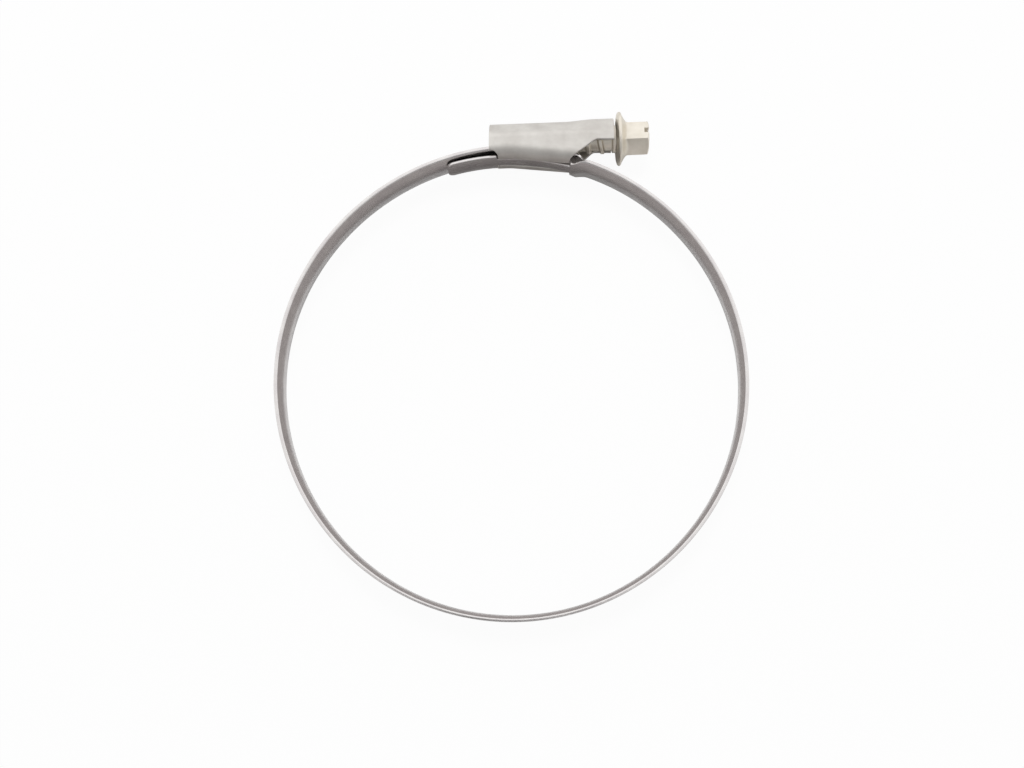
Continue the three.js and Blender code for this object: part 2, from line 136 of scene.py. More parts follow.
# ---- sizes of the screw, along its axis from the place where the worm bites deepest ------------------------
worm_radius = 3.1 * mm
core_radius = 2.4 * mm
core_chamfer = 0.5 * mm  # of the rounded end
crest_half = 0.36 * mm
flank_slope = 0.5
shank_radius = 2.95 * mm
shank_step = 0.35 * mm  # length over which the core widens to the shank
worm_from = (housing_from - worm_foot.x) / math.cos(worm_tilt) + 0.8 * mm
housing_end = (housing_to - worm_foot.x) / math.cos(worm_tilt)
thread_to = housing_end - 0.4 * mm
flange_from = housing_end + 0.85 * mm
flange_radius = 5.8 * mm
flange_rim = 0.95 * mm
flange_fillet = 0.25 * mm  # between the shank and the flange's domed face
flange_edge = 0.3 * mm  # radius of the rim's edge on the side of the hexagon
dome_from = flange_from - 0.15 * mm  # of the flange's domed face, towards the housing
dome_reach = 2 * mm  # over which the dome falls back from the fillet
dome_fall = 0.2 * mm
dome_edge_from = dome_from + 0.25 * mm  # of the soft edge where the dome meets the rim
dome_edge_in = 0.6 * mm
dome_edge_along = 0.5 * mm
flare_length = 2.5 * mm
flare_foot = 3.1 * mm  # radius to which the flare under the hexagon's flats runs in
head_to = flange_from + 7.25 * mm
head_apothem = 3.5 * mm
chamfer_inset = 0.15 * mm  # of the chamfer's edge on the end face from the flats
chamfer_angle = math.radians(30)
hex_turn = math.radians(22.6)
slot_width = 1.1 * mm
slot_depth = 1.1 * mm

# ---- shares and counts -------------------------------------------------------------------------------------
least_roll = 0.002  # a flat stretch counts as rolled by this share, which keeps its radius finite
sharp_from = math.radians(35)  # angle past which an edge is drawn sharp
section_shares = np.linspace(0, 1, 58)  # of half the housing's section, where its points lie


# ---- helpers -----------------------------------------------------------------------------------------------
def add(tree, kind, inputs=None, **settings):
    """Adds a node with its settings. An input is a value, or a node or an output of one to link."""
    node = tree.nodes.new(kind)
    for key, value in settings.items():
        setattr(node, key, value)
    for key, value in (inputs or {}).items():
        if isinstance(value, bpy.types.Node):
            value = value.outputs[0]
        if isinstance(value, bpy.types.NodeSocket):
            tree.links.new(value, node.inputs[key])
        else:
            node.inputs[key].default_value = value
    return node


def linear(hex_colour):
    """The linear colour of an sRGB hex value."""
    parts = [int(hex_colour[i:i + 2], 16) / 255 for i in (1, 3, 5)]
    return (*[p / 12.92 if p <= 0.04045 else ((p + 0.055) / 1.055) ** 2.4 for p in parts], 1)


def ease(t):
    """Rises from 0 to 1 with a soft start and a soft end."""
    clamped = np.clip(t, 0, 1)
    return clamped * clamped * (3 - 2 * clamped)


def soft_min(a, b, width):
    """The lesser of two values, with the corner between them rounded over this width."""
    share = np.clip(0.5 + 0.5 * (b - a) / width, 0, 1)
    return b * (1 - share) + a * share - width * share * (1 - share)


def soft_max(a, b, width):
    return -soft_min(-a, -b, width)


def round_edge(thickness, radius):
    """Six points round a sheet's cut edge: how far out they lie, and how deep from its first face."""
    turn = np.radians([30, 60, 90])
    out = np.concatenate([np.sin(turn), np.sin(turn)[::-1]])
    deep = np.concatenate([1 - np.cos(turn), thickness / radius - 1 + np.cos(turn)[::-1]])
    return radius * out, radius * deep


def in_scene(name, data):
    """A new object in the scene."""
    obj = bpy.data.objects.new(name, data)
    bpy.context.scene.collection.objects.link(obj)
    return obj


def lofted(name, rings, uv, material, **marks):
    """A closed solid through a row of outlines. Point j of an outline faces point -1 - j across the sheet,
    and the end faces join them. uv has one more column than the outlines, for the way back to the first."""
    rows, columns, _ = rings.shape
    row = np.arange(rows - 1)[:, None] * columns
    j = np.arange(columns)
    following = (j + 1) % columns
    walls = np.stack([row + j, row + following, row + following + columns, row + j + columns], -1)
    rung = np.arange(columns // 2 - 1)
    ladder = np.stack([rung, rung + 1, columns - 2 - rung, columns - 1 - rung], -1)
    faces = np.vstack([walls.reshape(-1, 4), ladder[:, ::-1], ladder + (rows - 1) * columns])
    mesh = bpy.data.meshes.new(name)
    mesh.from_pydata(rings.reshape(-1, 3).tolist(), [], faces.tolist())
    wall_uv = np.stack([uv[:-1, :-1], uv[:-1, 1:], uv[1:, 1:], uv[1:, :-1]], 2).reshape(-1, 2)
    first_uv = uv[0, :-1][ladder[:, ::-1]].reshape(-1, 2)
    last_uv = uv[-1, :-1][ladder].reshape(-1, 2)
    layer = mesh.uv_layers.new(name="UVMap")
    layer.data.foreach_set("uv", np.vstack([wall_uv, first_uv, last_uv]).astype(np.float32).ravel())
    for mark, values in marks.items():
        attribute = mesh.attributes.new(mark, "FLOAT", "POINT")
        attribute.data.foreach_set("value", np.asarray(values, np.float32).ravel())
    work = bmesh.new()
    work.from_mesh(mesh)
    bmesh.ops.recalc_face_normals(work, faces=work.faces)
    work.to_mesh(mesh)
    work.free()
    mesh.materials.append(material)
    return in_scene(name, mesh)


def node_group(name, sizes):
    """A geometry tree with a named input for each size."""
    tree = bpy.data.node_groups.new(name, "GeometryNodeTree")
    kinds = {bpy.types.Material: "NodeSocketMaterial", int: "NodeSocketInt", float: "NodeSocketFloat"}
    sockets = {"Geometry": "NodeSocketGeometry"}
    for size, value in sizes.items():
        sockets[size] = next(kind for known, kind in kinds.items() if isinstance(value, known))
    for socket, kind in sockets.items():
        tree.interface.new_socket(socket, in_out="INPUT", socket_type=kind)
    tree.interface.new_socket("Geometry", in_out="OUTPUT", socket_type="NodeSocketGeometry")
    return tree, tree.nodes.new("NodeGroupInput").outputs


def close_tree(tree, geometry, steel):
    """Ends a geometry tree with real geometry in its own steel."""
    real = add(tree, "GeometryNodeRealizeInstances", {"Geometry": geometry})
    painted = add(tree, "GeometryNodeSetMaterial", {"Geometry": real, "Material": steel})
    add(tree, "NodeGroupOutput", {0: painted})


def run_tree(piece, tree, sizes):
    """Puts a geometry tree on a piece, with these sizes on its inputs."""
    modifier = piece.modifiers.new(tree.name, "NODES")
    modifier.node_group = tree
    named = {item.name: item.identifier for item in tree.interface.items_tree if item.in_out == "INPUT"}
    for size, value in sizes.items():
        modifier[named[size]] = value


def finished(piece):
    """The piece as a plain mesh, smooth but for its sharp edges, with all its modifiers applied."""
    graph = bpy.context.evaluated_depsgraph_get()
    mesh = bpy.data.meshes.new_from_object(piece.evaluated_get(graph))
    piece.modifiers.clear()
    piece.data = mesh
    mesh.shade_smooth()
    mesh.set_sharp_from_angle(angle=sharp_from)
    return piece


# ---- finishes ----------------------------------------------------------------------------------------------
def steel_finish(name, colours, roughness, grain_size, grain_depth, anisotropy=0.0):
    """Bare steel: a metal whose tone drifts between two colours, with a grain that runs one way."""
    steel = bpy.data.materials.new(name)
    steel.use_nodes = True
    tree = steel.node_tree
    tree.nodes.clear()
    place = add(tree, "ShaderNodeTexCoord")
    along, across = grain_size
    stretched = add(tree, "ShaderNodeMapping", {
        "Vector": place.outputs["UV"], "Scale": (1 / along, 1 / across, 1)})
    streaks = add(tree, "ShaderNodeTexNoise", {
        "Vector": stretched, "Scale": 1, "Detail": 4, "Roughness": 0.6})
    cloud_size = 3.5 * mm
    clouds = add(tree, "ShaderNodeTexNoise", {
        "Vector": place.outputs["Object"], "Scale": 1 / cloud_size, "Detail": 3, "Roughness": 0.55})
    tone = add(tree, "ShaderNodeValToRGB", {"Fac": clouds})
    darker, lighter = tone.color_ramp.elements
    darker.position = 0.3
    darker.color = linear(colours[0])
    lighter.position = 0.7
    lighter.color = linear(colours[1])
    sheen = add(tree, "ShaderNodeMapRange", {
        0: streaks, 1: 0.3, 2: 0.7, 3: roughness[0], 4: roughness[1]})
    grain = add(tree, "ShaderNodeBump", {"Height": streaks, "Strength": 1, "Distance": grain_depth})
    surface = add(tree, "ShaderNodeBsdfPrincipled", {
        "Base Color": tone, "Metallic": 1, "Roughness": sheen, "Normal": grain, "Anisotropic": anisotropy})
    add(tree, "ShaderNodeOutputMaterial", {"Surface": surface})
    return steel


# Cold-rolled stainless strip: grey with a cool cast and a satin lengthwise grain. The real grain is some
# 0.05 mm wide, and it is drawn 0.4 mm wide so that it shows.
band_steel = steel_finish(
    "cold_rolled_stainless_strip", ("#dad5d5", "#e8e5e3"), (0.2, 0.3),
    (9 * mm, 0.4 * mm), 0.004 * mm, 0.35)

# Deep-drawn stainless sheet, tumbled matt: warmer, with short soft mottling. Tumbling leaves finer marks,
# which are drawn 0.5 mm wide so that they show.
housing_steel = steel_finish(
    "tumbled_stainless_sheet", ("#d3cfca", "#e2dfda"), (0.48, 0.58),
    (1.6 * mm, 0.5 * mm), 0.003 * mm)

# Rolled and plated screw steel: cream, with a soft sheen that runs round its axis. The marks of turning are
# finer, and they are drawn 0.3 mm wide so that they show.
screw_steel = steel_finish(
    "plated_screw_steel", ("#e4ddd0", "#f2ece1"), (0.4, 0.5),
    (2.5 * mm, 0.3 * mm), 0.003 * mm)


# ---- strip -------------------------------------------------------------------------------------------------
def half_width(half_blank, roll):
    """Half width that this half of a flat blank comes to once its edge is turned."""
    share = max(roll, least_roll)
    bow = min(half_blank, bowed_length) * share / bow_radius
    turned = min(max(half_blank - bowed_length, 0), rolled_length) * share / roll_radius
    rim = max(half_blank - bowed_length - rolled_length, 0)
    over_bow = bow_radius / share * math.sin(bow)
    over_roll = roll_radius / share * (math.sin(bow + turned) - math.sin(bow))
    return over_bow + over_roll + rim * math.cos(bow + turned)


def developed(half, roll):
    """Half of the flat blank that comes to this half width, or the whole half blank where none does."""
    low, high = half, blank_half
    for _ in range(40):
        middle = (low + high) / 2
        low, high = (middle, high) if half_width(middle, roll) < half else (low, middle)
    return low


def blank(name, stations, across):
    """Flat strip, as it leaves the shears. X runs along it and is an angle times the ring's radius, Y runs
    across it and Z through it. Each station is (angle, half width, roll, layer), and across gives the places
    over its half width. Roll and layer are marks for the former: how far the edges are turned, and how far
    outside the strip's own circle it lies."""
    rim_out, rim_deep = round_edge(strip_thickness, cut_edge)
    rings, uv, roll_marks, layer_marks = [], [], [], []
    for angle, half, roll, layer in stations:
        flat_reach = developed(half, roll) - cut_edge
        y = np.concatenate([
            across * flat_reach, flat_reach + rim_out,
            across[::-1] * flat_reach, -flat_reach - rim_out[::-1]])
        z = np.concatenate([0 * across, rim_deep, 0 * across + strip_thickness, rim_deep[::-1]])
        # The outline starts half way round one rim, so that its points face each other across the sheet.
        y = np.roll(y, 3)
        z = np.roll(z, 3)
        x = angle * ring_radius
        rings.append(np.stack([np.full_like(y, x), y, z], -1))
        uv.append(np.stack([np.full(len(y) + 1, x), np.append(y, y[0])], -1))
        roll_marks.append(np.full_like(y, roll))
        layer_marks.append(np.full_like(y, layer))
    return lofted(name, np.array(rings), np.array(uv), band_steel, roll=roll_marks, layer=layer_marks)


form_sizes = {
    "Strip radius": ring_radius, "Blank radius": ring_radius, "Centre X": 0.0, "Centre Y": 0.0,
    "Bow radius": bow_radius, "Bowed length": bowed_length, "Roll radius": roll_radius,
    "Rolled length": rolled_length, "Least roll": least_roll, "Steel": band_steel,
}


def strip_former():
    """Turns up the edges of a blank and bends it round a centre."""
    tree, size = node_group("form_strip", form_sizes)
    at = add(tree, "ShaderNodeSeparateXYZ", {0: add(tree, "GeometryNodeInputPosition")})
    roll = add(tree, "GeometryNodeInputNamedAttribute", {"Name": "roll"}, data_type="FLOAT")
    layer = add(tree, "GeometryNodeInputNamedAttribute", {"Name": "layer"}, data_type="FLOAT")
    # Across the strip: round the bow, round the roll, then straight to the cut edge.
    share = add(tree, "ShaderNodeMath", {0: roll, 1: size["Least roll"]}, operation="MAXIMUM")
    out = add(tree, "ShaderNodeMath", {0: at.outputs["Y"]}, operation="ABSOLUTE")
    bowed = add(tree, "ShaderNodeMath", {0: out, 1: size["Bowed length"]}, operation="MINIMUM")
    bow_radius = add(tree, "ShaderNodeMath", {0: size["Bow radius"], 1: share}, operation="DIVIDE")
    bow = add(tree, "ShaderNodeMath", {0: bowed, 1: bow_radius}, operation="DIVIDE")
    past = add(tree, "ShaderNodeMath", {0: out, 1: bowed}, operation="SUBTRACT")
    rolled = add(tree, "ShaderNodeMath", {0: past, 1: size["Rolled length"]}, operation="MINIMUM")
    roll_radius = add(tree, "ShaderNodeMath", {0: size["Roll radius"], 1: share}, operation="DIVIDE")
    turned = add(tree, "ShaderNodeMath", {0: rolled, 1: roll_radius}, operation="DIVIDE")
    turned = add(tree, "ShaderNodeMath", {0: turned, 1: bow}, operation="ADD")
    rim = add(tree, "ShaderNodeMath", {0: past, 1: rolled}, operation="SUBTRACT")
    bow_sine, bow_cosine, sine, cosine = [
        add(tree, "ShaderNodeMath", {0: angle}, operation=kind)
        for angle, kind in ((bow, "SINE"), (bow, "COSINE"), (turned, "SINE"), (turned, "COSINE"))]
    tighter = add(tree, "ShaderNodeMath", {0: bow_radius, 1: roll_radius}, operation="SUBTRACT")
    level = add(tree, "ShaderNodeMath", {0: roll_radius, 1: at.outputs["Z"]}, operation="SUBTRACT")
    side = add(tree, "ShaderNodeMath", {0: tighter, 1: bow_sine}, operation="MULTIPLY")
    side = add(tree, "ShaderNodeMath", {0: level, 1: sine, 2: side}, operation="MULTIPLY_ADD")
    side = add(tree, "ShaderNodeMath", {0: rim, 1: cosine, 2: side}, operation="MULTIPLY_ADD")
    way = add(tree, "ShaderNodeMath", {0: at.outputs["Y"]}, operation="SIGN")
    side = add(tree, "ShaderNodeMath", {0: side, 1: way}, operation="MULTIPLY")
    dip = add(tree, "ShaderNodeMath", {0: tighter, 1: bow_cosine}, operation="MULTIPLY")
    dip = add(tree, "ShaderNodeMath", {0: level, 1: cosine, 2: dip}, operation="MULTIPLY_ADD")
    height = add(tree, "ShaderNodeMath", {0: bow_radius, 1: dip}, operation="SUBTRACT")
    height = add(tree, "ShaderNodeMath", {0: rim, 1: sine, 2: height}, operation="MULTIPLY_ADD")
    # Round the ring.
    reach = add(tree, "ShaderNodeMath", {0: size["Strip radius"], 1: layer}, operation="ADD")
    reach = add(tree, "ShaderNodeMath", {0: reach, 1: height}, operation="ADD")
    angle = add(tree, "ShaderNodeMath", {0: at.outputs["X"], 1: size["Blank radius"]}, operation="DIVIDE")
    sine = add(tree, "ShaderNodeMath", {0: angle}, operation="SINE")
    cosine = add(tree, "ShaderNodeMath", {0: angle}, operation="COSINE")
    x = add(tree, "ShaderNodeMath", {0: reach, 1: sine, 2: size["Centre X"]}, operation="MULTIPLY_ADD")
    y = add(tree, "ShaderNodeMath", {0: reach, 1: cosine, 2: size["Centre Y"]}, operation="MULTIPLY_ADD")
    place = add(tree, "ShaderNodeCombineXYZ", {"X": x, "Y": y, "Z": side})
    formed = add(tree, "GeometryNodeSetPosition", {"Geometry": size["Geometry"], "Position": place})
    close_tree(tree, formed, size["Steel"])
    return tree


def ring_drift(angle):
    """How far the ring leaves its circle before the split, to run on in line with the threaded end."""
    start = split_angle - drift_angle
    if angle < start:
        return 0
    t = (angle - start) / drift_angle
    slope = feed_centre.x * math.cos(split_angle) - feed_centre.y * math.sin(split_angle)
    return slope * drift_angle * (t * t * t - t * t)


def ring_strip():
    """The strip from its tongue, through the neck in the housing, up the joggle and round to the split."""
    shoulder = math.asin((lip_from - shoulder_gap) / tongue_radius)
    tongue_tip = shoulder - tongue_length / tongue_radius
    joggle_from = math.asin((exit_from + joggle_gap) / tongue_radius)
    joggle_to = joggle_from + joggle_length / ring_radius
    low = tongue_radius - ring_radius
    stations = []
    for turn in np.linspace(0.1, math.pi / 2, 12):
        along = tongue_corner * (1 - math.cos(turn))
        half = tongue_half - tongue_corner * (1 - math.sin(turn))
        stations.append((tongue_tip + along / tongue_radius, half, 0, low))
    for angle in np.linspace(stations[-1][0], shoulder, 26)[1:]:
        stations.append((angle, tongue_half, 0, low))
    corner = neck_corner / tongue_radius
    for t in np.linspace(0, 1, 7)[1:]:
        half = neck_half + (tongue_half - neck_half) * (1 - ease(t))
        stations.append((shoulder + corner * t, half, 0, low))
    for angle in np.linspace(shoulder + corner, joggle_from - corner, 40)[1:-1]:
        stations.append((angle, neck_half, 0, low))
    for t in np.linspace(0, 1, 7)[:-1]:
        half = neck_half + (tongue_half - neck_half) * ease(t)
        stations.append((joggle_from - corner * (1 - t), half, 0, low))
    for t in np.linspace(0, 1, 26):
        half = tongue_half + (strip_half - tongue_half) * ease(t * 2)
        stations.append((joggle_from + (joggle_to - joggle_from) * t, half, ease(t), low * (1 - ease(t))))
    for angle in np.linspace(joggle_to, split_angle, 420)[1:]:
        stations.append((angle, strip_half, 1, ring_drift(angle)))
    flat = np.linspace(0, 0.6, 7)
    rolled = np.linspace(0.6, 1, 15)[1:]
    across = np.concatenate([-rolled[::-1], -flat[:0:-1], flat, rolled])
    piece = blank("ring_strip", stations, across)
    run_tree(piece, strip_former(), form_sizes)
    return finished(piece)


press_sizes = {
    "Blank radius": ring_radius, "Mesh radius": mesh_radius, "Tilt": worm_tilt, "Pitch": thread_pitch,
    "Length": groove_length, "Width": groove_width, "Depth": groove_depth,
    "Lead": math.atan(thread_pitch / (2 * math.pi * (worm_radius - groove_depth / 2))),
    "Floor edge": -0.26 * mm, "Shoulder edge": 0.14 * mm, "Proud": 0.035 * mm, "Proud peak": 0.1 * mm,
    "Proud reach": 0.55 * mm, "Outer face": 0.98 * strip_thickness, "First": 0, "Last": 0,
    "Steel": band_steel,
}


def thread_press():
    """Presses a row of slanted grooves with round ends into the outer face of a blank. Its edges, peak and
    reach are distances from a groove's outline, outwards."""
    tree, size = node_group("press_thread", press_sizes)
    at = add(tree, "ShaderNodeSeparateXYZ", {0: add(tree, "GeometryNodeInputPosition")})
    angle = add(tree, "ShaderNodeMath", {0: at.outputs["X"], 1: size["Blank radius"]}, operation="DIVIDE")
    angle = add(tree, "ShaderNodeMath", {0: angle, 1: size["Tilt"]}, operation="ADD")
    along = add(tree, "ShaderNodeMath", {0: angle, 1: size["Mesh radius"]}, operation="MULTIPLY")
    sine = add(tree, "ShaderNodeMath", {0: size["Lead"]}, operation="SINE")
    cosine = add(tree, "ShaderNodeMath", {0: size["Lead"]}, operation="COSINE")
    tangent = add(tree, "ShaderNodeMath", {0: size["Lead"]}, operation="TANGENT")
    # Number of the nearest groove, and the distance to its middle line.
    slanted = add(tree, "ShaderNodeMath", {
        0: at.outputs["Y"], 1: tangent, 2: along}, operation="MULTIPLY_ADD")
    number = add(tree, "ShaderNodeMath", {0: slanted, 1: size["Pitch"]}, operation="DIVIDE")
    number = add(tree, "ShaderNodeMath", {0: number}, operation="ROUND")
    number = add(tree, "ShaderNodeClamp", {"Value": number, "Min": size["First"], "Max": size["Last"]})
    centre = add(tree, "ShaderNodeMath", {0: number, 1: size["Pitch"]}, operation="MULTIPLY")
    off = add(tree, "ShaderNodeMath", {0: along, 1: centre}, operation="SUBTRACT")
    part = add(tree, "ShaderNodeMath", {0: off, 1: cosine}, operation="MULTIPLY")
    over = add(tree, "ShaderNodeMath", {0: at.outputs["Y"], 1: sine, 2: part}, operation="MULTIPLY_ADD")
    part = add(tree, "ShaderNodeMath", {0: off, 1: sine}, operation="MULTIPLY")
    lengthwise = add(tree, "ShaderNodeMath", {0: at.outputs["Y"], 1: cosine}, operation="MULTIPLY")
    lengthwise = add(tree, "ShaderNodeMath", {0: lengthwise, 1: part}, operation="SUBTRACT")
    lengthwise = add(tree, "ShaderNodeMath", {0: lengthwise}, operation="ABSOLUTE")
    straight = add(tree, "ShaderNodeMath", {0: size["Length"], 1: size["Width"]}, operation="SUBTRACT")
    straight = add(tree, "ShaderNodeMath", {0: straight, 1: 0.5}, operation="MULTIPLY")
    past = add(tree, "ShaderNodeMath", {0: lengthwise, 1: straight}, operation="SUBTRACT")
    past = add(tree, "ShaderNodeMath", {0: past, 1: 0.0}, operation="MAXIMUM")
    apart = add(tree, "ShaderNodeCombineXYZ", {"X": over, "Y": past})
    apart = add(tree, "ShaderNodeVectorMath", {0: apart}, operation="LENGTH").outputs["Value"]
    half = add(tree, "ShaderNodeMath", {0: size["Width"], 1: 0.5}, operation="MULTIPLY")
    apart = add(tree, "ShaderNodeMath", {0: apart, 1: half}, operation="SUBTRACT")
    # The floor of the groove rises to a soft shoulder, and the steel stands a little proud round it.
    sunk = add(tree, "ShaderNodeMapRange", {
        0: apart, 1: size["Floor edge"], 2: size["Shoulder edge"], 3: 1, 4: 0},
        interpolation_type="SMOOTHSTEP")
    drop = add(tree, "ShaderNodeMath", {0: sunk, 1: size["Depth"]}, operation="MULTIPLY")
    far = add(tree, "ShaderNodeMapRange", {
        0: apart, 1: size["Proud peak"], 2: size["Proud reach"], 3: size["Proud"], 4: 0},
        interpolation_type="SMOOTHSTEP")
    inside = add(tree, "ShaderNodeMath", {0: size["Proud peak"], 1: -1}, operation="MULTIPLY")
    near = add(tree, "ShaderNodeMapRange", {
        0: apart, 1: inside, 2: size["Proud peak"]}, interpolation_type="SMOOTHSTEP")
    proud = add(tree, "ShaderNodeMath", {0: far, 1: near}, operation="MULTIPLY")
    lift = add(tree, "ShaderNodeMath", {0: proud, 1: drop}, operation="SUBTRACT")
    outer = add(tree, "ShaderNodeMath", {
        0: at.outputs["Z"], 1: size["Outer face"]}, operation="GREATER_THAN")
    lift = add(tree, "ShaderNodeMath", {0: lift, 1: outer}, operation="MULTIPLY")
    pressed = add(tree, "GeometryNodeSetPosition", {
        "Geometry": size["Geometry"], "Offset": add(tree, "ShaderNodeCombineXYZ", {"Z": lift})})
    close_tree(tree, pressed, size["Steel"])
    return tree


def threaded_strip():
    """The free end of the strip with its pressed thread, bent round the circle that it slides along."""
    split = split_angle - 2 * math.pi
    start = math.asin((ring_radius * math.sin(split) - feed_centre.x) / feed_radius)
    tip = math.asin((threaded_tip_x - feed_centre.x) / feed_radius)
    run_out = tip - threaded_tip_run_out / feed_radius
    stations = [(angle, strip_half, 1, 0) for angle in np.linspace(start, run_out, 520)]
    for turn in np.linspace(math.pi / 2, 0.1, 18)[1:]:
        along = threaded_tip_run_out * (1 - math.cos(turn))
        corner = max(0, 1 - along / threaded_tip_corner)
        half = strip_half - threaded_tip_corner * (1 - math.sqrt(1 - corner * corner))
        stations.append((tip - along / feed_radius, half, ease(along / threaded_tip_run_out), 0))
    rolled = np.linspace(0.62, 1, 14)
    across = np.concatenate([-rolled[::-1], np.linspace(-0.6, 0.6, 49), rolled])
    piece = blank("threaded_strip", stations, across)
    before_first = groove_width / mesh_radius
    after_last = (groove_width / 2 + groove_land) / mesh_radius
    first = math.ceil((start + worm_tilt + before_first) / groove_step)
    last = math.floor((tip + worm_tilt - after_last) / groove_step)
    run_tree(piece, thread_press(), {**press_sizes, "First": first, "Last": last})
    run_tree(piece, strip_former(), {
        **form_sizes, "Strip radius": feed_radius, "Centre X": feed_centre.x, "Centre Y": feed_centre.y})
    return finished(piece)


# ---- housing -----------------------------------------------------------------------------------------------
def worm_axis_y(x):
    return worm_foot.y + (x - worm_foot.x) * math.tan(worm_tilt)


def housing_foot(x):
    """The housing's underside: it follows the tongue to the ring's top, then runs straight to the exit."""
    if x < 0:
        return math.sqrt(tongue_radius ** 2 - x * x)
    strip_over = feed_centre.y + math.sqrt(feed_radius ** 2 - (exit_from - feed_centre.x) ** 2)
    slope = (tongue_radius - strip_over + lip_clearance + sheet_thickness) / exit_from
    return tongue_radius - slope * x


def section_lengths(x):
    """Lengths of the stretches of half the housing's section: crown, flank, shoulder bend, wall, corner bend
    and lip. Then come the crown's radius, the angle at which it hands over to the flank, and the foot's y."""
    crown = crown_radius + neck_rise * ease((x - neck_from) / neck_run)
    to_shoulder = Vector((wall_z - bend_radius, -shoulder_drop))
    lean = math.acos((crown - bend_radius) / to_shoulder.length)
    hand_over = math.atan2(to_shoulder.y, to_shoulder.x) + lean
    flank = math.sqrt(to_shoulder.length_squared - (crown - bend_radius) ** 2)
    foot_y = housing_foot(x)
    wall = worm_axis_y(x) - shoulder_drop - foot_y - bend_radius
    stretches = [
        crown * (math.pi / 2 - hand_over), flank, bend_radius * hand_over, wall,
        bend_radius * math.pi / 2, wall_z - bend_radius - lip_edge,
    ]
    return stretches, crown, hand_over, foot_y


def sheet_end(x, drop):
    """How far round the half section the sheet reaches at x, from the crown. The exit's level run lies this
    drop below the screw's axis."""
    stretches, _, _, foot_y = section_lengths(x)
    corner_from = sum(stretches[:4])
    whole = sum(stretches)

    def down_to(y):
        if y > foot_y + bend_radius:
            return corner_from - (y - foot_y - bend_radius)
        return corner_from + bend_radius * math.asin((foot_y + bend_radius - y) / bend_radius)

    inset = lip_from - housing_from
    t = 1 - math.sqrt(1 - min(1, max(0, (x - housing_from) / inset)))
    lip_z = lip_cut_reach - inset * t * t
    cut_lip = corner_from + bend_radius * math.acos((lip_z - wall_z + bend_radius) / bend_radius)
    lipped = cut_lip + (whole - cut_lip) * ease((x - lip_from) / cut_step + 0.5)
    if x < exit_from - cut_step / 2:
        return lipped
    foot = math.sqrt(tongue_radius ** 2 - exit_from ** 2) + exit_rise
    heel = worm_axis_y(exit_heel) - drop
    slant = foot + (heel - foot) * (x - exit_from) / (exit_heel - exit_from)
    raised = down_to(float(soft_min(max(slant, foot), heel, exit_heel_blend)))
    return raised + (lipped - raised) * (1 - ease((x - exit_from) / cut_step + 0.5))


def section_points(x, lengths, inset):
    """Points of the half section at these lengths from the crown, moved in from its outer face."""
    stretches, crown, hand_over, foot_y = section_lengths(x)
    ends = np.cumsum(stretches)
    axis_y = worm_axis_y(x)
    bend_z = wall_z - bend_radius
    points = []
    for length in lengths:
        number = int(np.searchsorted(ends[:-1], length))
        rest = length - (ends[number - 1] if number else 0)
        if number == 0:
            angle = math.pi / 2 - rest / crown
            centre = Vector((0, axis_y))
            radius = crown
        elif number in (1, 2):
            angle = hand_over if number == 1 else hand_over - rest / bend_radius
            centre = Vector((bend_z, axis_y - shoulder_drop))
            radius = bend_radius
        elif number == 3:
            angle = 0
            centre = Vector((bend_z, axis_y - shoulder_drop - rest))
            radius = bend_radius
        else:
            angle = -min(rest / bend_radius, math.pi / 2) if number == 4 else -math.pi / 2
            centre = Vector((bend_z - (rest if number == 5 else 0), foot_y + bend_radius))
            radius = bend_radius
        normal = Vector((math.cos(angle), math.sin(angle)))
        point = centre + normal * (radius - inset)
        if number == 1:
            point += Vector((-normal.y, normal.x)) * (stretches[1] - rest)
        points.append((point.x, point.y))
    return np.array(points)


def half_sheet(x, drop, thinned):
    """Half the sheet's outline at x, thinned on both faces: its reach from the crown, then the points of its
    outer face, its inner face and its rim."""
    reach = sheet_end(x, drop) - pressed_edge
    outer = section_points(x, section_shares * reach, thinned)
    inner = section_points(x, section_shares * reach, sheet_thickness - thinned)
    squeeze = (sheet_thickness - 2 * thinned) / sheet_thickness
    rim = [section_points(x, [reach + out], thinned + deep * squeeze)[0]
           for out, deep in zip(*round_edge(sheet_thickness, pressed_edge))]
    return reach, outer, inner, np.array(rim)


